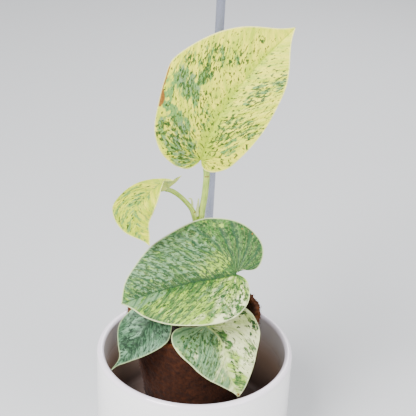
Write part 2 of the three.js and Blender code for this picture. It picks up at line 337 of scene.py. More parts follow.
def revolved(name, profile, sides, finish, shift):
    """A closed mesh of a (radius, height) profile in millimetres that starts and ends on the axis.

    shift(angle, radius, height) gives each point's new radius and height.
    """
    middle = profile[1:-1]
    points = [(COIR_CENTRE, 0.0, profile[0][1]), (COIR_CENTRE, 0.0, profile[-1][1])]
    for r, z in middle:
        for k in range(sides):
            angle = 2 * math.pi * k / sides
            new_r, new_z = shift(angle, r, z)
            points.append((COIR_CENTRE + new_r * math.cos(angle), new_r * math.sin(angle), new_z))
    last = len(middle) - 1
    faces = []
    for k in range(sides):
        j = (k + 1) % sides
        faces.append((0, 2 + j, 2 + k))
        faces.append((1, 2 + last * sides + k, 2 + last * sides + j))
        for i in range(last):
            low = 2 + i * sides
            faces.append((low + k, low + j, low + sides + j, low + sides + k))
    mesh = bpy.data.meshes.new(name)
    mesh.from_pydata([(x * MM, y * MM, z * MM + RIM_HEIGHT) for x, y, z in points], [], faces)
    return dress(name, mesh, finish)


def stretch(points, count):
    """Points evenly spaced along a (radius, height) polyline."""
    line = np.array(points, float)
    along = np.concatenate([[0], np.cumsum(np.linalg.norm(np.diff(line, axis=0), axis=1))])
    spots = np.linspace(0, along[-1], count)
    return [(np.interp(s, along, line[:, 0]), np.interp(s, along, line[:, 1])) for s in spots]


# Pressed coir: dull red brown, mottled where the latex soaked in, with a painted orange highlight where the
# rim catches light and painted shade darkening it low down, where the cover pot shadows it.
pressed_coir, tree = new_material("pressed_coir_fibre")
place = add(tree, "ShaderNodeTexCoord").outputs["Object"]
height = add(tree, "ShaderNodeSeparateXYZ", {"Vector": place}).outputs["Z"]
mottle = add(
    tree,
    "ShaderNodeTexNoise",
    {"Vector": place, "Scale": 1 / (COIR_MOTTLE * MM), "Detail": 6.0, "Roughness": 0.7},
)
mat_tone = add(
    tree, "ShaderNodeValToRGB", {"Fac": mottle}, stops=((0.32, "#240f07"), (0.72, "#4a2613"))
)
# Painted highlight: a lighter orange tone on the top of the rolled rim, where light falls on it.
on_rim = add(
    tree,
    "ShaderNodeMapRange",
    {"Value": height, "From Min": RIM_HEIGHT + (COIR_TOP - 7) * MM, "From Max": RIM_HEIGHT + COIR_TOP * MM},
    interpolation_type="SMOOTHSTEP",
)
grain = add(
    tree,
    "ShaderNodeTexNoise",
    {"Vector": place, "Scale": 1 / (COIR_GRAIN * MM), "Detail": 4.0, "Roughness": 0.7},
)
lit_rim_tone = add(
    tree, "ShaderNodeValToRGB", {"Fac": grain}, stops=((0.3, "#200e07"), (0.72, "#6b3a1c"))
)
tone = add(
    tree,
    "ShaderNodeMix",
    {"Factor": on_rim, "A": mat_tone.outputs["Color"], "B": lit_rim_tone.outputs["Color"]},
    data_type="RGBA",
)
# Painted shade: the coir darkens towards its foot, where the cover pot shadows it.
coir_low_shade = add(
    tree,
    "ShaderNodeMapRange",
    {
        "Value": height,
        "From Min": RIM_HEIGHT + COIR_SHADE_SPAN[0] * MM,
        "From Max": RIM_HEIGHT + COIR_SHADE_SPAN[1] * MM,
        "To Max": 0.7,
    },
    interpolation_type="SMOOTHSTEP",
)
tone = add(tree, "ShaderNodeMix", {"Factor": coir_low_shade, "A": tone, "B": linear("#170b06")}, data_type="RGBA")
thread_place = add(
    tree, "ShaderNodeMapping", {"Vector": place, "Scale": tuple(1 / (size * MM) for size in COIR_THREAD)}
)
threads = add(
    tree, "ShaderNodeTexNoise", {"Vector": thread_place, "Scale": 1.0, "Detail": 4.0, "Distortion": 1.6}
)
relief = add(tree, "ShaderNodeMath", {0: threads, 1: grain}, operation="ADD")
felt = add(tree, "ShaderNodeBump", {"Height": relief, "Strength": 0.6, "Distance": 0.0008})
coir = add(
    tree,
    "ShaderNodeBsdfPrincipled",
    {
        "Base Color": tone,
        "Roughness": 0.95,
        "Sheen Weight": 0.03,
        "Specular IOR Level": 0.15,
        "Normal": felt,
    },
)
add(tree, "ShaderNodeOutputMaterial", {"Surface": coir})


def coir_outer(z):
    """The outside radius of the tapering wall at a height, both in millimetres."""
    return COIR_RIM - 0.8 - COIR_TAPER * (COIR_TOP - COIR_BAND - z)


def coir_shift(angle, r, z):
    """The pressed felt's lumps, and the notches of the ragged rim."""
    x, y = r * math.cos(angle), r * math.sin(angle)
    lumps = 0.45 * wobble(x, y, z, 7) + 0.3 * wobble(x, y, z, 1.8)
    rag = max(0.0, (z - COIR_TOP + 2.0) / 2.0)
    notch = 1.3 * wobble(x, y, 3, 3.0) + 2.0 * wobble(x, y, 9, 1.2)
    return r + lumps + 0.4 * rag * notch, z + rag * (notch - 0.3)


band_foot = COIR_TOP - COIR_BAND
wall_foot = COIR_FOOT + 1.5
well_foot = COIR_FOOT + COIR_FLOOR
wall_outside = stretch([(coir_outer(wall_foot), wall_foot), (coir_outer(band_foot - 1), band_foot - 1)], 60)
rolled = stretch(
    [
        (COIR_RIM - 0.4, band_foot),
        (COIR_RIM + 0.1, band_foot + 1.5),
        (COIR_RIM, COIR_TOP - 0.7),
        (COIR_RIM - 1, COIR_TOP),
    ],
    9,
)
wall_top = [(COIR_RIM - 2.6, COIR_TOP), (COIR_RIM - 3.6, COIR_TOP - 0.8)]
wall_inside = stretch(
    [(coir_outer(COIR_TOP - 3) - COIR_WALL, COIR_TOP - 3), (coir_outer(well_foot) - COIR_WALL, well_foot)], 24
)
profile = [(0.0, COIR_FOOT), (10.0, COIR_FOOT), (coir_outer(COIR_FOOT) - 1.5, COIR_FOOT)]
profile += wall_outside + rolled + wall_top + wall_inside
profile += [(10.0, well_foot), (0.0, well_foot)]
coir_pot = revolved("pressed_coir_pot", profile, COIR_SIDES, pressed_coir, coir_shift)
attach(coir_pot, "root")
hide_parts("coir_pot")

# Loose fibres: ends of coconut fibre that the press left free, stiff bent hairs a millimetre or two long.
# They stand off the felt all over the coir pot and crowd round its rim, each 0.1 to 0.2 mm thick.
FIBRES_A_SQUARE_METRE = 420000.0
FIBRE_LENGTH = 0.0024
FIBRE_THICKNESS = 0.04
FIBRE_SEED = 11
FRINGE_FOOT = COIR_TOP - 9.0
FRINGE_TOP = COIR_TOP - 1.0

fibres, given = new_tree(
    "coir_fibres",
    {
        "Density": "NodeSocketFloat",
        "Length": "NodeSocketFloat",
        "Thickness": "NodeSocketFloat",
        "Seed": "NodeSocketInt",
    },
)
place = add(fibres, "GeometryNodeInputPosition")
height = add(fibres, "ShaderNodeSeparateXYZ", {"Vector": place}).outputs["Z"]
near_rim = add(
    fibres,
    "ShaderNodeMapRange",
    {
        "Value": height,
        "From Min": RIM_HEIGHT + FRINGE_FOOT * MM,
        "From Max": RIM_HEIGHT + FRINGE_TOP * MM,
        "To Min": 0.1,
    },
)
crowd = add(fibres, "ShaderNodeMath", {0: near_rim, 1: given.outputs["Density"]}, operation="MULTIPLY")
seeds = add(
    fibres,
    "GeometryNodeDistributePointsOnFaces",
    {
        "Mesh": given.outputs["Geometry"],
        "Density": crowd,
        "Seed": given.outputs["Seed"],
    },
    distribute_method="RANDOM",
)
hair = add(
    fibres,
    "GeometryNodeCurveQuadraticBezier",
    {"Resolution": 4, "Start": (0, 0, 0), "Middle": (0.5, 0.12, 0.3), "End": (1, -0.1, 0.15)},
)
thin = add(
    fibres, "GeometryNodeCurvePrimitiveCircle", {"Resolution": 3, "Radius": given.outputs["Thickness"]}
)
strand = add(fibres, "GeometryNodeCurveToMesh", {"Curve": hair, "Profile Curve": thin, "Fill Caps": True})
turn = add(
    fibres,
    "FunctionNodeRandomValue",
    {"Min": (-0.3, -0.5, 0.0), "Max": (0.3, 0.25, 2 * math.pi), "Seed": given.outputs["Seed"]},
    data_type="FLOAT_VECTOR",
)
spun = add(fibres, "FunctionNodeEulerToRotation", {"Euler": turn})
lying = add(
    fibres,
    "FunctionNodeRotateRotation",
    {"Rotation": seeds.outputs["Rotation"], "Rotate By": spun},
    rotation_space="LOCAL",
)
reach = add(fibres, "FunctionNodeRandomValue", {"Min": 0.35, "Max": 1.0, "Seed": 3}, data_type="FLOAT")
size = add(fibres, "ShaderNodeMath", {0: reach, 1: given.outputs["Length"]}, operation="MULTIPLY")
loose = add(
    fibres,
    "GeometryNodeInstanceOnPoints",
    {"Points": seeds.outputs["Points"], "Instance": strand, "Rotation": lying, "Scale": size},
)
end_tree(fibres, loose, pressed_coir)

felt_copy = bpy.data.objects.new("felt_copy", coir_pot.data.copy())
scene.collection.objects.link(felt_copy)
hairs = grow(
    "loose_coir_fibres",
    felt_copy,
    fibres,
    {
        "Density": FIBRES_A_SQUARE_METRE,
        "Length": FIBRE_LENGTH,
        "Thickness": FIBRE_THICKNESS,
        "Seed": FIBRE_SEED,
    },
    pressed_coir,
)
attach(hairs, "root")

# Soil: a moist mix of fine peat and coir with bark crumbs, filled to about a finger's breadth under the rim.
# The crumbs are scattered over its top, each turned and flattened its own way.
SOIL_TOP = COIR_TOP - 9.0
SOIL_BOTTOM = COIR_FOOT + COIR_FLOOR + 0.3
SOIL_DOME = 1.5
SOIL_DOME_SPAN = 36.0
SOIL_SIDES = 96
SOIL_SPECK = 2.0
CRUMB_RADIUS = 0.0013
CRUMB_SPACING = 0.0017
CRUMB_SEED = 7

# Potting mix: dark, damp brown crumbs, each a little lighter or darker, quite matt.
potting_mix, tree = new_material("damp_peat_and_coir_mix")
place = add(tree, "ShaderNodeTexCoord").outputs["Object"]
speck = add(tree, "ShaderNodeTexNoise", {"Vector": place, "Scale": 1 / (SOIL_SPECK * MM), "Detail": 4.0})
own_tone = add(tree, "ShaderNodeAttribute", attribute_name="crumb_tone").outputs["Fac"]
depth = add(tree, "ShaderNodeMath", {0: speck, 1: own_tone}, operation="ADD")
earth = add(
    tree, "ShaderNodeValToRGB", {"Fac": depth}, stops=((0.35, "#150c08"), (0.893, "#4f3220"))
)
grit = add(tree, "ShaderNodeBump", {"Height": speck, "Strength": 0.6, "Distance": 0.0006})
mix = add(
    tree,
    "ShaderNodeBsdfPrincipled",
    {"Base Color": earth.outputs["Color"], "Roughness": 0.88, "Normal": grit},
)
add(tree, "ShaderNodeOutputMaterial", {"Surface": mix})


def soil_shift(angle, r, z):
    """Low heaps on the top surface."""
    x, y = r * math.cos(angle), r * math.sin(angle)
    heap = 0.9 * wobble(x, y, 1, 11) + 0.5 * wobble(x, y, 5, 3)
    return r, z + (heap if z > SOIL_TOP - 1 else 0.0)


def soil_radius(z):
    """How far the soil reaches from the middle at a height, just short of the coir wall."""
    return coir_outer(z) - COIR_WALL - 0.1


ring_radii = np.linspace(soil_radius(SOIL_TOP), 1.2, 30)
top_rings = [(r, SOIL_TOP + SOIL_DOME * (1 - r / SOIL_DOME_SPAN)) for r in ring_radii]
profile = [(0.0, SOIL_BOTTOM), (soil_radius(SOIL_BOTTOM), SOIL_BOTTOM)]
profile += top_rings + [(0.0, SOIL_TOP + SOIL_DOME)]
bed = revolved("potting_soil_bed", profile, SOIL_SIDES, potting_mix, soil_shift)

crumbling, given = new_tree(
    "soil_crumbs",
    {
        "Spacing": "NodeSocketFloat",
        "Crumb": "NodeSocketFloat",
        "Level": "NodeSocketFloat",
        "Seed": "NodeSocketInt",
    },
)
place = add(crumbling, "GeometryNodeInputPosition")
height = add(crumbling, "ShaderNodeSeparateXYZ", {"Vector": place}).outputs["Z"]
on_top = add(
    crumbling, "FunctionNodeCompare", {"A": height, "B": given.outputs["Level"]}, operation="GREATER_THAN"
)
spots = add(
    crumbling,
    "GeometryNodeDistributePointsOnFaces",
    {
        "Mesh": given.outputs["Geometry"],
        "Selection": on_top,
        "Distance Min": given.outputs["Spacing"],
        "Density Max": 260000.0,
        "Seed": given.outputs["Seed"],
    },
    distribute_method="POISSON",
)
crumb = add(crumbling, "GeometryNodeMeshIcoSphere", {"Radius": given.outputs["Crumb"], "Subdivisions": 1})
any_turn = add(
    crumbling,
    "FunctionNodeRandomValue",
    {"Min": (0, 0, 0), "Max": (6.28, 6.28, 6.28), "Seed": given.outputs["Seed"]},
    data_type="FLOAT_VECTOR",
)
any_size = add(
    crumbling,
    "FunctionNodeRandomValue",
    {"Min": (0.35, 0.35, 0.25), "Max": (1.5, 1.1, 0.8), "Seed": 5},
    data_type="FLOAT_VECTOR",
)
scattered = add(
    crumbling,
    "GeometryNodeInstanceOnPoints",
    {
        "Points": spots.outputs["Points"],
        "Instance": crumb,
        "Rotation": add(crumbling, "FunctionNodeEulerToRotation", {"Euler": any_turn}),
        "Scale": any_size,
    },
)
shade = add(crumbling, "FunctionNodeRandomValue", {"Min": -0.15, "Max": 0.45, "Seed": 9}, data_type="FLOAT")
toned = add(
    crumbling,
    "GeometryNodeStoreNamedAttribute",
    {"Geometry": scattered, "Name": "crumb_tone", "Value": shade},
    data_type="FLOAT",
    domain="INSTANCE",
)
whole = add(crumbling, "GeometryNodeJoinGeometry", {"Geometry": toned})
crumbling.links.new(given.outputs["Geometry"], whole.inputs["Geometry"])
end_tree(crumbling, whole, potting_mix)

level = RIM_HEIGHT + (SOIL_TOP - 1.2) * MM
soil = grow(
    "potting_soil",
    bed,
    crumbling,
    {"Spacing": CRUMB_SPACING, "Crumb": CRUMB_RADIUS, "Level": level, "Seed": CRUMB_SEED},
    potting_mix,
)
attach(soil, "root")
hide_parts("soil")

# Stalks: the support rod, stem and petioles are round and follow a path, so one tree makes them all.
# The rod is extruded clear acrylic, cut square and pushed into the soil behind the stem.


def smooth_path(points, count):
    """Points evenly spaced on a centripetal Catmull-Rom curve through the given ones."""
    given = np.array(points, float)
    given = np.vstack([2 * given[0] - given[1], given, 2 * given[-1] - given[-2]])
    dense = []
    for before, start, end, after in zip(given, given[1:], given[2:], given[3:]):
        legs = (start - before, end - start, after - end)
        gaps = [max(np.linalg.norm(leg) ** 0.5, 1e-4) for leg in legs]
        leave = (start - before) / gaps[0] - (end - before) / (gaps[0] + gaps[1]) + (end - start) / gaps[1]
        arrive = (end - start) / gaps[1] - (after - start) / (gaps[1] + gaps[2]) + (after - end) / gaps[2]
        leave, arrive = leave * gaps[1], arrive * gaps[1]
        t = np.linspace(0, 1, 60, endpoint=False)[:, None]
        bend = (-3 * start + 3 * end - 2 * leave - arrive) * t**2
        dense.append(start + leave * t + bend + (2 * start - 2 * end + leave + arrive) * t**3)
    dense = np.vstack([*dense, given[-2:-1]])
    along = np.concatenate([[0], np.cumsum(np.linalg.norm(np.diff(dense, axis=0), axis=1))])
    spots = np.linspace(0, along[-1], count)
    return np.stack([np.interp(spots, along, dense[:, k]) for k in range(dense.shape[1])], -1)


stalks, given = new_tree("round_stalk", {"Sides": "NodeSocketInt", "Material": "NodeSocketMaterial"})
length_along = add(stalks, "GeometryNodeSplineParameter").outputs["Length"]
measured = add(
    stalks,
    "GeometryNodeStoreNamedAttribute",
    {"Geometry": given.outputs["Geometry"], "Name": "along", "Value": length_along},
    data_type="FLOAT",
    domain="POINT",
)
round_section = add(
    stalks, "GeometryNodeCurvePrimitiveCircle", {"Resolution": given.outputs["Sides"], "Radius": 1.0}
)
share_round = add(stalks, "GeometryNodeSplineParameter").outputs["Factor"]
marked = add(
    stalks,
    "GeometryNodeStoreNamedAttribute",
    {"Geometry": round_section, "Name": "around", "Value": share_round},
    data_type="FLOAT",
    domain="POINT",
)
girth = add(stalks, "GeometryNodeInputRadius")
tube = add(
    stalks,
    "GeometryNodeCurveToMesh",
    {"Curve": measured, "Profile Curve": marked, "Scale": girth, "Fill Caps": True},
)
end_tree(stalks, tube, given.outputs["Material"])


def stalk(name, path, radii, finish, node=None, steps=48, sides=20):
    """A round piece along a path in millimetres, its radius given at even steps along it."""
    line = smooth_path(path, steps)
    girths = np.interp(np.linspace(0, 1, steps), np.linspace(0, 1, len(radii)), radii) * MM
    places = [(x * MM, y * MM, z * MM + RIM_HEIGHT) for x, y, z in line]
    route = curve_object(name, places, girths, smooth=True)
    made = grow(name, route, stalks, {"Sides": sides, "Material": finish}, finish)
    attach(made, "root")
    if node:
        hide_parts(node)
    return made


ROD_FOOT = (3.8, 13.0, -52.4)
ROD_LENGTH = 300.0
ROD_LEAN = 0.0121
ROD_RADIUS = 2.5

# Acrylic rod: clear with a faint violet grey, polished by extrusion, so it shows bright and dark lines.
clear_acrylic, tree = new_material("extruded_clear_acrylic")
acrylic = add(
    tree,
    "ShaderNodeBsdfPrincipled",
    {"Base Color": linear("#a3a7b8"), "Roughness": 0.06, "IOR": 1.49, "Transmission Weight": 0.85},
)
add(tree, "ShaderNodeOutputMaterial", {"Surface": acrylic})

rod_top = (ROD_FOOT[0] + ROD_LEAN * ROD_LENGTH, ROD_FOOT[1], ROD_FOOT[2] + ROD_LENGTH)
rod_path = [ROD_FOOT, rod_top]
stalk("clear_support_rod", rod_path, [ROD_RADIUS], clear_acrylic, "support_rod", 8, 32)

# Stem and petioles: soft green stalks that swell where they join. The stem stands in the soil and carries
# all five petioles, and each petiole grows into the base of its leaf.
STALK_STREAK = 6.4
STALK_RIBS = 2.6
STALK_SCAB = 3.846

# Living stalk skin: pale green with long darker streaks, a soft shine and a few brown scabs.
green_skin, tree = new_material("fresh_green_stalk")
along = add(tree, "ShaderNodeAttribute", attribute_name="along").outputs["Fac"]
around = add(tree, "ShaderNodeAttribute", attribute_name="around").outputs["Fac"]
turned = add(tree, "ShaderNodeMath", {0: around, 1: 2 * math.pi}, operation="MULTIPLY")
streak_run = 1 / (STALK_STREAK * STALK_RIBS * MM)
streak_place = add(
    tree,
    "ShaderNodeCombineXYZ",
    {
        "X": add(tree, "ShaderNodeMath", {0: along, 1: streak_run}, operation="MULTIPLY"),
        "Y": add(tree, "ShaderNodeMath", {0: turned}, operation="COSINE"),
        "Z": add(tree, "ShaderNodeMath", {0: turned}, operation="SINE"),
    },
)
streaks = add(tree, "ShaderNodeTexNoise", {"Vector": streak_place, "Scale": STALK_RIBS, "Detail": 4.0})
green = add(
    tree, "ShaderNodeValToRGB", {"Fac": streaks}, stops=((0.3, "#71922a"), (0.68, "#b9cc58"))
)
place = add(tree, "ShaderNodeTexCoord").outputs["Object"]
scab = add(tree, "ShaderNodeTexNoise", {"Vector": place, "Scale": 1 / (STALK_SCAB * MM), "Detail": 2.0})
scabbed = add(tree, "ShaderNodeMapRange", {"Value": scab, "From Min": 0.7, "From Max": 0.74})
tone = add(
    tree,
    "ShaderNodeMix",
    {"Factor": scabbed, "A": green.outputs["Color"], "B": linear("#7a5528")},
    data_type="RGBA",
)
ribbed = add(tree, "ShaderNodeBump", {"Height": streaks, "Strength": 0.25, "Distance": 0.0004})
fleshy = add(
    tree,
    "ShaderNodeBsdfPrincipled",
    {
        "Base Color": tone,
        "Roughness": 0.42,
        "Subsurface Weight": 0.15,
        "Subsurface Radius": (0.0015, 0.002, 0.0008),
        "Subsurface Scale": 1.0,
        "Normal": ribbed,
    },
)
add(tree, "ShaderNodeOutputMaterial", {"Surface": fleshy})

STEM_PATH = [(-0.6, 3, -8), (-1, 2.8, 19), (-1.1, 2.3, 50), (-1, 1.8, 78), (-0.9, 1.5, 88.6)]
STEM_GIRTHS = [2.6, 2.6, 2.7, 3.1, 2.6, 2.9, 2.4, 2.4, 3.0, 2.5, 2.3, 2.3, 2.4, 2.9, 3.1]
stalk("stem_skin", STEM_PATH, STEM_GIRTHS, green_skin, "stem", 90, 24)

PETIOLES = {
    "top": (
        [(0.1, 1.5, 86), (0.5, 1.5, 89), (1.4, 1.2, 96.3), (2.3, 0.9, 103.1), (2.9, 0.4, 111.8),
         (3.1, -0.2, 118.6), (2.5, -1.2, 124.1), (1.4, -2.4, 128.4), (0.5, -3.9, 130.9)],
        [2.4, 2.2, 1.9, 1.85, 1.85, 1.85, 1.9, 1.8, 1.1],
    ),
    "side": (
        [(-1.8, 1.5, 86), (-3.2, 0.6, 91.8), (-5, -0.7, 96.8), (-8.2, -2.7, 102), (-11.2, -4.8, 106.2),
         (-14.6, -7, 110), (-17.4, -8.7, 112.2), (-19.6, -9.7, 113)],
        [1.9, 1.8, 1.5, 1.4, 1.35, 1.35, 1.4, 1.2],
    ),
    "front": (
        [(-1.1, 2.3, 44), (4.5, -2.5, 46.5), (12, -10, 50), (18.5, -16.5, 56), (21.4, -20, 62),
         (20.6, -22.2, 66.2)],
        [2.2, 1.8, 1.6, 1.6, 1.6, 1.3],
    ),
    "lower_left": (
        [(-1, 2.6, 27), (-6.5, -3, 35), (-13, -10.5, 38.6), (-19, -17.6, 38.6), (-22.4, -21.6, 37),
         (-24.4, -24.1, 36.3)],
        [2.0, 1.5, 1.4, 1.4, 1.4, 1.1],
    ),
    "lower_right": (
        [(-0.8, 2.8, 23), (0.5, -3.5, 31), (2.6, -12, 36), (4.8, -20.5, 36), (6.4, -26.5, 34),
         (8, -30.2, 34.6)],
        [2.0, 1.5, 1.4, 1.4, 1.4, 1.1],
    ),
}
for name, (path, girths) in PETIOLES.items():
    stalk(f"petiole_{name}_skin", path, girths, green_skin, f"petiole_{name}")

# Sheath remnants: two dried tips of the sheaths that wrapped the upper leaves before they opened.
# They are still fixed at the node where the two upper petioles part, one curled over and one pressed close.
SHEATH_CRISP = 1.111

# Dried sheath: thin and papery, mottled from straw to dull green, without shine.
dry_sheath, tree = new_material("dried_leaf_sheath")
place = add(tree, "ShaderNodeTexCoord").outputs["Object"]
crisp = add(tree, "ShaderNodeTexNoise", {"Vector": place, "Scale": 1 / (SHEATH_CRISP * MM), "Detail": 3.0})
straw = add(
    tree, "ShaderNodeMix", {"Factor": crisp, "A": linear("#8f9c58"), "B": linear("#c4cd8c")}, data_type="RGBA"
)
papery = add(tree, "ShaderNodeBsdfPrincipled", {"Base Color": straw, "Roughness": 0.75})
add(tree, "ShaderNodeOutputMaterial", {"Surface": papery})

SHEATHS = {
    "curled_sheath": (
        [(-4.6, -0.7, 96.3), (-4.5, -0.9, 100.5), (-5.3, -0.9, 103.2), (-6.6, -0.8, 103.1)],
        [0.95, 0.6, 0.35],
    ),
    "pressed_sheath": (
        [(-1.5, -0.4, 92), (-1.3, -0.5, 97), (-0.9, -0.6, 103.2)],
        [1.1, 0.8, 0.4],
    ),
}
for name, (path, girths) in SHEATHS.items():
    stalk(name, path, girths, dry_sheath, steps=20, sides=8)

# Leaves: thin satin blades, folded along the midrib and curled outward, each grown on the end of its petiole.
# Each half is a grid from the midrib to the margin's outline, whose lines run as the veins do, and the
# variegation is laid along those same lines.
BLADE_STATIONS = 150
BLADE_STEPS = 34
BLADE_THICK = 0.45
MARGIN_THICK = 0.24
RIB_GROOVE = 0.22
GROOVE_HALF = 0.6
RIB_KEEL = 0.5
KEEL_HALF = 1.1
MARGIN_WAVE = 0.3
VEIN_SLANT = 0.65
VEIN_BEND = 0.55
FAN_MM = 17.0
FADE_INNER, FADE_OUTER = 0.65, 1.35
NOISE_STEP = 13.0
MARKS = ("flush", "patch", "silver", "fleck", "brown")

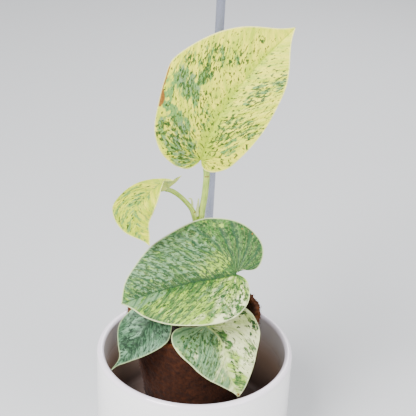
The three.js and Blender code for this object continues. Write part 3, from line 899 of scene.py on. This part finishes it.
# Midrib points are in millimetres in the shared frame, and "across" is the way out from it at base and tip.
# A half has its fold in degrees at base and tip, its curl in degrees per centimetre and its margin as
# (along, out) points from the base. Marks are soft ellipses of (along, out, half length, half width, turn in
# degrees, strength), out being positive on the left half: flush is a yellow green tint, patch and silver are
# broad green and grey green areas, fleck is dark dots and brown is dried damage.
LEAVES = {
    "top": {
        "midrib": [(-0.4, -4.5, 129.8), (4.6, -6, 148.4), (13.1, -4.5, 165.4), (26.8, -1, 184.4),
                   (47.4, 5, 206.1)],
        "across": [(-0.97, 0.1, 0.23), (-0.72, 0.21, 0.66)],
        "left": {
            "fold": (10, 10),
            "curl": -2.5,
            "margin": [(-3, 1.2), (-7.5, 5), (-7.6, 12), (-2, 21.8), (8, 29), (22, 32.6), (34, 36),
                       (43, 38.1), (51, 35.6), (64, 28.8), (75, 20), (87, 5)],
        },
        "right": {
            "fold": (26, 26),
            "curl": -3.5,
            "margin": [(-3.4, 1.8), (-4.6, 5), (-2.6, 10.4), (3, 16.3), (13, 21.3), (24, 25), (36, 26.2),
                       (51, 24.5), (64, 20.8), (73, 15.4), (86, 4.2)],
        },
        "dark_rib": 0.0,
        "flush": [(38, 0, 70, 50, 0, 0.44), (18, 0, 34, 5, 0, 0.84), (56, 0, 26, 4, 0, 0.6)],
        "patch": [(6, 13, 16, 10, 25, 0.51), (-3, 12, 7, 12, 0, 0.5), (12, 23, 10, 8, 20, 0.47),
                  (20, 20, 11, 4, 63, 0.68), (29, 31, 9, 3.5, 28, 0.66), (36, 23, 13, 6, 59, 0.66),
                  (45, 18.5, 6, 4.5, 0, 0.62), (48, 31, 5, 4, 0, 0.5), (55, 21, 9, 9, 0, 0.44),
                  (61, 10, 7, 5, 0, 0.44),
                  (23, 8, 12, 6, 0, 0.4), (26, -9, 13, 8, -15, 0.42), (17, -14, 8, 4, -20, 0.52),
                  (32, -19, 8, 7, -20, 0.45), (51, -12, 12, 6, -10, 0.44), (64, -16, 8, 5, 0, 0.45)],
        "silver": [(38, 24, 11, 5, 59, 0.5), (6, 13, 16, 10, 25, 0.46), (12, 23, 9, 7, 20, 0.46)],
        "fleck": [(34, 0, 52, 46, 0, 0.38), (6, 13, 15, 10, 25, 0.5), (12, 22, 9, 8, 0, 0.5),
                  (36, 23, 12, 5, 59, 0.5), (45, 18.5, 6, 4, 0, 0.58), (48, 31, 4, 4, 0, 0.5),
                  (55, 21, 9, 9, 0, 0.48), (61, 10, 7, 5, 0, 0.48), (75, 8.5, 4, 4, 0, 0.46),
                  (22, 6, 8, 4, 0, 0.46), (33, 12, 8, 5, 0, 0.46), (14, -5, 12, 4, 0, 0.5),
                  (26, -9, 13, 8, -15, 0.49), (32, -19, 8, 7, 0, 0.5), (51, -12, 12, 6, 0, 0.49),
                  (64, -16, 8, 5, 0, 0.48)],
        "brown": [(35, 36.8, 11, 1.7, 17, 0.88), (25.5, 33, 4.2, 2.2, 20, 0.92)],
    },
    "side": {
        "midrib": [(-18.3, -9, 113.3), (-30.2, -15.3, 112.2), (-36.1, -22, 107), (-34.6, -25.8, 97.2),
                   (-27, -27.6, 86.1)],
        "across": [(0.65, -0.68, -0.35), (0.81, 0.28, 0.51)],
        "left": {
            "fold": (86, 9),
            "fold_run": 34,
            "curl": -17,
            "margin": [(-1.5, 2), (-4, 5.5), (-4.6, 10), (-4, 14), (-2, 10.2), (3, 9.8), (12, 15.6), (21, 15),
                       (27, 12), (34, 8), (42, 4.2)],
        },
        "right": {
            "fold": (-7, -7),
            "curl": -16,
            "margin": [(-3, 2.5), (-7, 6), (-5, 10.3), (-1.3, 13.1), (4.4, 15.9), (13, 17.2), (22.4, 16.6),
                       (29, 14.2), (36, 8.4), (44, 1.5)],
        },
        "dark_rib": 0.0,
        "flush": [(20, 0, 44, 30, 0, 0.62)],
        "patch": [(24, 0, 34, 24, 0, 0.4), (27, -3, 15, 6, -8, 0.46)],
        "silver": [],
        "fleck": [(22, -6, 24, 14, -8, 0.38)],
        "brown": [],
    },
    "front": {
        "midrib": [(22.4, -22, 67), (10.2, -25.2, 65.3), (-2.8, -28.7, 64.2), (-20.5, -33.2, 60.8),
                   (-42.2, -38, 54)],
        "across": [(0.3, -0.72, -0.62), (0.3, -0.75, -0.58)],
        "left": {
            "fold": (34, 34),
            "curl": -14,
            "margin": [(-2, 2), (-4, 6), (-4, 12.5), (-0.7, 21), (6.5, 27), (20, 29.8), (34, 28.2),
                       (45.5, 24), (56.7, 15.6), (63, 6.4)],
        },
        "right": {
            "fold": (18, 18),
            "curl": -5,
            "margin": [(-3, 2.2), (-7.5, 0.4), (-12.5, 0.5), (-16.6, 4.7), (-19, 12.3), (-15.9, 21.8),
                       (-8, 30), (4, 34.8), (13, 35.6), (26, 32.4), (44, 25.5), (56, 17), (63, 10.4)],
        },
        "dark_rib": 1.0,
        "flush": [(30, -14, 60, 40, 0, 0.9), (38, 13, 26, 20, 0, 0.72), (7, 11, 14, 12, 0, -0.32)],
        "patch": [(32, -18, 52, 30, 0, 0.67), (-8, -14, 20, 24, 0, 0.74), (10, 15, 20, 18, 0, 0.5),
                  (44, 10, 24, 16, 0, 0.52), (58, 4, 12, 9, 0, 0.62), (13, -8, 13, 5.5, 8, -0.45),
                  (7, 11, 12, 10, 0, -0.15)],
        "silver": [(40, -16, 30, 18, 0, 0.6), (20, -22, 16, 10, 0, 0.5), (56, 3, 14, 8, 0, 0.56),
                   (14, 15, 14, 12, 0, 0.36)],
        "fleck": [(31, -18, 46, 26, 0, 0.49), (-8, -14, 17, 22, 0, 0.53), (34, -2.5, 36, 4, 0, 0.58),
                  (24, 5, 26, 4, 0, 0.46), (36, 16, 30, 14, 0, 0.44), (6, 17, 18, 14, 0, 0.47)],
        "brown": [(-10, -25, 0.5, 0.5, 0, 0.9), (-14.5, -20.5, 0.5, 0.5, 0, 0.9)],
    },
    "lower_left": {
        "midrib": [(-23.5, -23.6, 38), (-27.8, -27.1, 32.5), (-32.1, -31.1, 26.5), (-41.3, -33, 12.9),
                   (-48.6, -32.5, 3.5)],
        "across": [(0.64, -0.73, -0.25), (0.61, -0.77, -0.21)],
        "left": {
            "fold": (10, 10),
            "curl": -8,
            "margin": [(-2, 1.6), (-5.5, 5), (-5.5, 10), (-2.7, 14.3), (4.2, 18), (9.5, 16.9), (15, 14.4),
                       (23, 9.8), (32, 4.7), (39, 1)],
        },
        "right": {
            "fold": (14, 14),
            "curl": -8,
            "margin": [(-2, 1.6), (-5, 5), (-3.5, 10), (2, 13), (7.8, 14.5), (14.7, 16), (20, 15.5),
                       (24, 13.3), (29, 7.7), (35, 1.9)],
        },
        "dark_rib": 0.7,
        "flush": [(20, 0, 34, 26, 0, 0.55)],
        "patch": [(18, 0, 34, 26, 0, 0.5)],
        "silver": [(20, 8.5, 13, 4, -20, 0.6), (38, 0, 12, 8, 0, 0.62), (10, -8, 18, 9, 0, 0.46),
                   (4, 12, 12, 8, 0, 0.4)],
        "fleck": [(18, 1, 12, 4, 0, 0.58), (24, -5.5, 6, 4, 0, 0.56), (18, 0, 34, 24, 0, 0.44)],
        "brown": [],
    },
    "lower_right": {
        "midrib": [(6.9, -29.6, 35.5), (12.9, -34.6, 33), (17.3, -39.1, 27.6), (19.7, -43.2, 16),
                   (26.9, -44.5, -3.5)],
        "across": [(0.85, 0.47, 0.24), (0.89, 0.31, 0.33)],
        "left": {
            "fold": (12, 12),
            "curl": -7,
            "margin": [(-2.5, 2), (-8, 6), (-9, 13), (-5, 21), (1.2, 25), (10.9, 24), (19, 22.4), (26, 19.6),
                       (35, 14.2), (45, 6)],
        },
        "right": {
            "fold": (14, 14),
            "curl": -7,
            "margin": [(-1.5, 2.6), (-2.2, 6.3), (-5.6, 12.6), (-5.6, 17), (-3, 21.4), (3, 24.8), (9.8, 25.7),
                       (19.6, 20.9), (28.2, 14.3), (37.4, 7.1), (46, 1.6)],
        },
        "dark_rib": 0.0,
        "flush": [(10, 12, 30, 20, 0, 0.28), (20, -9, 34, 20, 0, 0.5), (42, 4, 8, 6, 0, 0.6)],
        "patch": [(3, -12, 16, 16, 0, 0.6), (18, -15, 14, 12, 0, 0.52), (34, -7, 12, 8, 0, 0.46),
                  (25, 15, 9, 5, 0, 0.42), (42, 4, 7, 4, 0, 0.56), (14, 3, 14, 2.5, 0, 0.48)],
        "silver": [(2, -12, 15, 15, 0, 0.7), (18, -14, 14, 12, 0, 0.66), (34, -7, 10, 7, 0, 0.5)],
        "fleck": [(12, -4, 7, 4, 0, 0.55), (14, -13, 18, 14, 0, 0.46), (2, 22, 4, 4, 0, 0.64),
                  (11.5, 21.7, 5, 2.5, 0, 0.62), (32, 5, 9, 2, 0, 0.52), (10, 1, 8, 1.8, 0, 0.56),
                  (25, 15, 9, 6, 0, 0.42), (20, 10, 30, 16, 0, 0.34)],
        "brown": [(49.5, 0, 2.5, 2, 0, 0.8)],
    },
}


def unit(vectors):
    """The same directions at length 1."""
    return vectors / np.linalg.norm(vectors, axis=-1, keepdims=True)


def blade_face(leaf, side, along, out):
    """Points of a half's upper face and its normals there, at distances along the midrib and out from it."""
    rib = smooth_path(leaf["midrib"], 500)
    marks = np.concatenate([[0], np.cumsum(np.linalg.norm(np.diff(rib, axis=0), axis=1))])
    length = marks[-1]

    def on_rib(distance):
        return np.stack([np.interp(distance, marks, rib[:, k]) for k in range(3)], -1)

    half = leaf[side]
    sign = 1.0 if side == "left" else -1.0
    held = np.clip(along, 0, length)
    ahead = unit(on_rib(np.clip(held + 0.3, 0, length)) - on_rib(np.clip(held - 0.3, 0, length)))
    share = (held / length)[..., None]
    across = unit(np.array(leaf["across"][0]) * (1 - share) + np.array(leaf["across"][1]) * share)
    upward = unit(np.cross(ahead, across))
    eased = np.clip(along / half.get("fold_run", length), 0, 1)
    eased = eased * eased * (3 - 2 * eased)
    fold = np.radians(half["fold"][0] * (1 - eased) + half["fold"][1] * eased)
    bend = math.radians(half["curl"]) / 10
    end = fold + bend * out
    reach = (np.sin(end) - np.sin(fold)) / bend
    rise = (np.cos(fold) - np.cos(end)) / bend
    points = on_rib(held) + ahead * (along - held)[..., None]
    points = points + across * (sign * reach)[..., None] + upward * rise[..., None]
    return points, upward * np.cos(end)[..., None] - across * (sign * np.sin(end))[..., None]


def rib_length(leaf):
    """A leaf's length along its midrib, in millimetres."""
    return np.linalg.norm(np.diff(smooth_path(leaf["midrib"], 500), axis=0), axis=1).sum()


def covered(ellipses, along, out):
    """How strongly soft ellipses cover points, 0 to 1. A negative strength clears the ones before it."""
    share = np.zeros_like(along)
    for at, off, long, wide, turn, strength in ellipses:
        c, s = math.cos(math.radians(turn)), math.sin(math.radians(turn))
        across = np.hypot(
            ((along - at) * c + (out - off) * s) / long,
            ((out - off) * c - (along - at) * s) / wide,
        )
        near = np.clip((FADE_OUTER - across) / (FADE_OUTER - FADE_INNER), 0, 1)
        near = near * near * (3 - 2 * near)
        share = np.maximum(share, strength * near) if strength > 0 else share * (1 + strength * near)
    return share


def vein_place(along, out, width):
    """Where points lie among the side veins: the vein's foot on the midrib, and the distance run along it.

    The veins leave the midrib aslant and bend towards the tip; in the lobes they fan out from the base.
    """
    slant = VEIN_SLANT + VEIN_BEND * out / width
    foot = along - slant * out
    fan = np.arctan2(out, along) - np.arctan2(1.0, slant)
    place = np.where(foot >= 0, foot, -FAN_MM * width / 30 * fan)
    run = np.where(foot >= 0, np.hypot(out, along - foot), np.hypot(out, along))
    return place, run


def half_blade(leaf, side, number):
    """A half's upper and lower points, and what its skin needs to know at each, station by station."""
    length = rib_length(leaf)
    margin = smooth_path([(0, 0), *leaf[side]["margin"], (length, 0)], BLADE_STATIONS)
    t = np.linspace(0, 1, BLADE_STATIONS)[:, None]
    s = np.append(np.linspace(0, 1, BLADE_STEPS) ** 1.2 * 0.985, 1.0)[None, :]
    foot = length * t**2
    du, dv = margin[:, :1] - foot, margin[:, 1:]
    bow = (0.3 - 0.42 * np.minimum(2 * t, 1)) * 4 * s * (1 - s)
    along = foot + du * s + bow * dv * 0.5
    out = np.maximum(dv * s - bow * du * 0.5, 0)
    upper, normals = blade_face(leaf, side, along, out)
    reach = np.hypot(du, dv)
    sign = 1.0 if side == "left" else -1.0
    swing = np.sin(2 * math.pi * (4.3 * t + 0.17 * number + 0.4 * sign))
    wave = MARGIN_WAVE * s**3 * swing * np.sin(math.pi * t)
    from_base = np.sin(math.pi * np.minimum(t * 4, 0.5))
    groove = RIB_GROOVE * np.exp(-((out / GROOVE_HALF) ** 2)) * from_base
    keel = RIB_KEEL * np.exp(-((out / KEEL_HALF) ** 2)) * (1 - 0.75 * t) * from_base
    upper = upper + normals * (wave - groove)[..., None]
    thick = BLADE_THICK + (MARGIN_THICK - BLADE_THICK) * s + keel
    facts = {
        "rib": out + 0 * s,
        "edge": (1 - s) * reach,
        "station": t + 0 * s,
    }
    facts["vein_x"], facts["vein_y"] = vein_place(along, out, dv.max())
    facts["vein_y"] = sign * facts["vein_y"]
    for kind in MARKS:
        facts[kind] = covered(leaf[kind], along, sign * out)
    return upper, normals, thick, facts


def blade(name, leaf, number, finish):
    """A closed thin mesh: one ring of points round each station, over the face and back under it."""
    left_upper, left_normals, left_thick, left_facts = half_blade(leaf, "left", number)
    right_upper, right_normals, right_thick, right_facts = half_blade(leaf, "right", number)

    def joined(left, right):
        return np.concatenate([left[:, ::-1], right[:, 1:]], axis=1)

    middle = unit(left_normals[:, :1] + right_normals[:, :1])
    left_upper[:, 0] = (left_upper[:, 0] + right_upper[:, 0]) / 2
    upper = joined(left_upper, right_upper)
    left_normals[:, :1] = middle
    normals = joined(left_normals, right_normals)
    lower = upper - normals * joined(left_thick, right_thick)[..., None]
    rings = np.concatenate([upper, lower[:, ::-1]], axis=1)[1:-1]
    stations, ring = rings.shape[:2]
    heel = (upper[0, 0] + lower[0, 0]) / 2
    tip = (upper[-1, 0] + lower[-1, 0]) / 2
    points = np.concatenate([rings.reshape(-1, 3), [heel, tip]])
    faces = []
    for k in range(ring):
        j = (k + 1) % ring
        faces += [(i + k, i + j, i + ring + j, i + ring + k) for i in range(0, (stations - 1) * ring, ring)]
        faces.append((len(points) - 2, j, k))
        faces.append((len(points) - 1, (stations - 1) * ring + k, (stations - 1) * ring + j))
    mesh = bpy.data.meshes.new(name)
    mesh.from_pydata((points * MM + np.array([0, 0, RIM_HEIGHT])).tolist(), [], faces)

    def spread(label):
        both = joined(left_facts[label], right_facts[label])
        round_values = np.concatenate([both, both[:, ::-1]], axis=1)
        return np.append(round_values[1:-1].ravel(), [round_values[0, 0], round_values[-1, 0]])

    values = {label: spread(label) for label in ("rib", "edge", "station", *MARKS)}
    values["under"] = np.append(np.tile(np.repeat([0.0, 1.0], ring // 2), stations), [0.0, 0.0])
    values["dark_rib"] = np.full(len(points), leaf["dark_rib"])
    for label, numbers in values.items():
        layer = mesh.attributes.new(label, "FLOAT", "POINT")
        layer.data.foreach_set("value", numbers.astype(np.float32))
    layer = mesh.attributes.new("vein", "FLOAT_VECTOR", "POINT")
    own_noise = np.full(len(points), NOISE_STEP * number)
    spots = np.stack([spread("vein_x"), spread("vein_y"), own_noise], -1)
    layer.data.foreach_set("vector", spots.astype(np.float32).ravel())
    return dress(name, mesh, finish)


# Each kind of variegation: (mask, feature size in mm, stretch along the veins, edge softness).
# A mark shows where its noise passes a level that falls as its mask grows.
VARIEGATION = (
    ("flush", 5.0, 2.6, 0.1),
    ("patch", 3.6, 1.9, 0.04),
    ("silver", 5.2, 1.5, 0.06),
    ("fleck", 1.8, 1.4, 0.02),
)
MASK_GAIN = 0.56
MASK_LEVEL = 0.78
DRIFT_MM = (8.333, 14.286)
STREAK_MM = (0.75, 7.0)
STIPPLE_MM = (0.7, 1.167)
VEIN_SPACING = 6.5
VEIN_STRAY = 5.0
RIB_HALF = 0.9
DARK_RIB_WIDER = 0.8
MARGIN_FADE = (0.2, 0.9)


def leaf_skin(name, palette):
    """Satin leaf skin: flush, patches and flecks along the veins, midrib, pale margin and paler underside."""
    made, tree = new_material(name)
    vein = add(tree, "ShaderNodeAttribute", attribute_name="vein").outputs["Vector"]
    known = {
        label: add(tree, "ShaderNodeAttribute", attribute_name=label).outputs["Fac"]
        for label in (*MARKS, "rib", "edge", "station", "dark_rib", "under")
    }

    def along_veins(across, run, place=(0.0, 0.0, 0.0)):
        return {"Vector": vein, "Location": place, "Scale": (1 / across, 1 / run, 1.0)}

    drift = add(tree, "ShaderNodeMapping", along_veins(*DRIFT_MM))
    slow = add(tree, "ShaderNodeTexNoise", {"Vector": drift, "Scale": 1.0, "Detail": 3.0})
    fine = add(tree, "ShaderNodeMapping", along_veins(*STIPPLE_MM))
    stipple = add(tree, "ShaderNodeTexNoise", {"Vector": fine, "Scale": 1.0, "Detail": 2.0})
    drawn = add(tree, "ShaderNodeMapping", along_veins(*STREAK_MM))
    streaks = add(
        tree, "ShaderNodeTexNoise", {"Vector": drawn, "Scale": 1.0, "Detail": 3.0, "Distortion": 0.5}
    )

    # Each coat of colour is the share of the skin that it covers and its tone, from the lowest up.
    coats = []
    for number, (mask, size, stretch_along, soft) in enumerate(VARIEGATION):
        laid = add(
            tree,
            "ShaderNodeMapping",
            along_veins(size, size * stretch_along, (17.0 * number, 5.0 * number, 0.0)),
        )
        islands = add(
            tree,
            "ShaderNodeTexNoise",
            {"Vector": laid, "Scale": 1.0, "Detail": 4.0, "Roughness": 0.62, "Distortion": 0.15},
        )
        level = add(
            tree, "ShaderNodeMath", {0: known[mask], 1: MASK_GAIN, 2: -MASK_LEVEL}, operation="MULTIPLY_ADD"
        )
        above = add(tree, "ShaderNodeMath", {0: islands, 1: level}, operation="ADD")
        shown = add(tree, "ShaderNodeMapRange", {"Value": above, "From Min": -soft, "From Max": soft})
        coats.append((shown, linear(palette[mask])))

    dotted = add(
        tree, "ShaderNodeMapRange", {"Value": stipple, "From Min": 0.56, "From Max": 0.68, "To Max": 0.3}
    )
    coats.append((dotted, linear(palette["stipple"])))

    streaked = add(
        tree,
        "ShaderNodeMapRange",
        {"Value": streaks, "From Min": 0.48, "From Max": 0.66, "To Max": palette["streaky"]},
    )
    plainer = add(
        tree, "ShaderNodeMapRange", {"Value": known["patch"], "From Max": 0.7, "To Min": 1.0, "To Max": 0.2}
    )
    streaked = add(tree, "ShaderNodeMath", {0: streaked, 1: plainer}, operation="MULTIPLY")
    coats.append((streaked, linear(palette["streak"])))

    vein_count = add(tree, "ShaderNodeSeparateXYZ", {"Vector": vein}).outputs["X"]
    strayed = add(tree, "ShaderNodeMath", {0: slow, 1: VEIN_STRAY, 2: vein_count}, operation="MULTIPLY_ADD")
    turns = add(tree, "ShaderNodeMath", {0: strayed, 1: 2 * math.pi / VEIN_SPACING}, operation="MULTIPLY")
    ridge = add(tree, "ShaderNodeMath", {0: turns}, operation="SINE")
    line = add(tree, "ShaderNodeMapRange", {"Value": ridge, "From Min": 0.6, "To Max": palette["veined"]})
    vein_line = add(tree, "ShaderNodeMath", {0: line, 1: known["patch"]}, operation="MULTIPLY")
    coats.append((vein_line, linear(palette["vein"])))

    burnt = add(tree, "ShaderNodeMath", {0: known["brown"], 1: stipple}, operation="ADD")
    scar = add(tree, "ShaderNodeMapRange", {"Value": burnt, "From Min": 0.82, "From Max": 1.08})
    dried = add(
        tree,
        "ShaderNodeMix",
        {"Factor": stipple, "A": linear("#3f2208"), "B": linear("#a06a22")},
        data_type="RGBA",
    )
    coats.append((scar, dried))

    spread_dark = add(
        tree,
        "ShaderNodeMath",
        {0: known["dark_rib"], 1: DARK_RIB_WIDER, 2: RIB_HALF},
        operation="MULTIPLY_ADD",
    )
    narrowed = add(tree, "ShaderNodeMapRange", {"Value": known["station"], "To Min": 1.0, "To Max": 0.2})
    rib_width = add(tree, "ShaderNodeMath", {0: spread_dark, 1: narrowed}, operation="MULTIPLY")
    from_rib = add(tree, "ShaderNodeMath", {0: known["rib"], 1: rib_width}, operation="DIVIDE")
    rib_share = add(
        tree,
        "ShaderNodeMapRange",
        {"Value": from_rib, "From Min": 0.2, "From Max": 1.3, "To Min": 0.75, "To Max": 0.0},
    )
    rib_tone = add(
        tree,
        "ShaderNodeMix",
        {"Factor": known["dark_rib"], "A": linear(palette["rib"]), "B": linear(palette["rib_dark"])},
        data_type="RGBA",
    )
    coats.append((rib_share, rib_tone))

    margin_share = add(
        tree,
        "ShaderNodeMapRange",
        {
            "Value": known["edge"],
            "From Min": MARGIN_FADE[0],
            "From Max": MARGIN_FADE[1],
            "To Min": 0.75,
            "To Max": 0.0,
        },
    )
    coats.append((margin_share, linear(palette["margin"])))

    below = add(tree, "ShaderNodeMath", {0: known["under"], 1: 0.5}, operation="MULTIPLY")
    coats.append((below, linear(palette["under"])))

    tone = add(
        tree,
        "ShaderNodeMix",
        {"Factor": slow, "A": linear(palette["base"]), "B": linear(palette["base_deep"])},
        data_type="RGBA",
    )
    for share, coat in coats:
        tone = add(tree, "ShaderNodeMix", {"Factor": share, "A": tone, "B": coat}, data_type="RGBA")

    quilted = add(tree, "ShaderNodeBump", {"Height": ridge, "Strength": 0.5, "Distance": 0.0003}, invert=True)
    raised = add(
        tree, "ShaderNodeBump", {"Height": streaks, "Strength": 0.4, "Distance": 0.0005, "Normal": quilted}
    )
    sheen = add(tree, "ShaderNodeMapRange", {"Value": stipple, "To Min": 0.42, "To Max": 0.58})
    skin = add(
        tree,
        "ShaderNodeBsdfPrincipled",
        {
            "Base Color": tone,
            "Roughness": sheen,
            "Specular IOR Level": 0.25,
            "Subsurface Weight": 0.1,
            "Subsurface Radius": (0.001, 0.0012, 0.0005),
            "Subsurface Scale": 1.0,
            "Normal": raised,
        },
    )
    add(tree, "ShaderNodeOutputMaterial", {"Surface": skin})
    return made


# Cream leaf: butter cream skin with yellow green along the rib, grey green patches and dark green flecks.
cream_leaf = leaf_skin(
    "variegated_cream_leaf",
    {
        "base": "#e3d93a", "base_deep": "#d2d22c", "flush": "#a6b80f", "patch": "#5b8544",
        "silver": "#67855c", "fleck": "#1a4013", "stipple": "#e4dc5e", "streak": "#9fb834",
        "streaky": 0.45, "vein": "#6f9342", "veined": 0.3, "rib": "#8ba30c", "rib_dark": "#2b5a28",
        "margin": "#dedb8a", "under": "#c3cb86",
    },
)

# Marbled leaf: cream and yellow green ground, green and grey green marbling, dark band at the rib.
marbled_leaf = leaf_skin(
    "variegated_marbled_leaf",
    {
        "base": "#dde0b0", "base_deep": "#d2d99a", "flush": "#86a82f", "patch": "#3b6728",
        "silver": "#63875f", "fleck": "#193f15", "stipple": "#aebf7a", "streak": "#c3d27e",
        "streaky": 0.48, "vein": "#183f26", "veined": 1.0, "rib": "#b5c47a", "rib_dark": "#163a1b",
        "margin": "#d0daa4", "under": "#8fa562",
    },
)

# Dark leaf: deep green skin with a silvery grey green bloom in streaks.
dark_leaf = leaf_skin(
    "silvered_dark_leaf",
    {
        "base": "#223f25", "base_deep": "#29482b", "flush": "#335837", "patch": "#406847",
        "silver": "#658a6b", "fleck": "#122917", "stipple": "#4b7050", "streak": "#64896a",
        "streaky": 0.5, "vein": "#142b19", "veined": 0.8, "rib": "#365c39", "rib_dark": "#122b18",
        "margin": "#9cb17f", "under": "#678560",
    },
)

SKINS = {
    "top": (cream_leaf, "cream_leaf"),
    "side": (cream_leaf, "cream_leaf"),
    "front": (marbled_leaf, "marbled_leaf"),
    "lower_left": (dark_leaf, "dark_leaf"),
    "lower_right": (marbled_leaf, "marbled_leaf"),
}
for number, (name, leaf) in enumerate(LEAVES.items()):
    skin, slot = SKINS[name]
    made = blade(f"{name}_leaf_blade", leaf, number, skin)
    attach(made, "root")
    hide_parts(f"leaf_{name}")
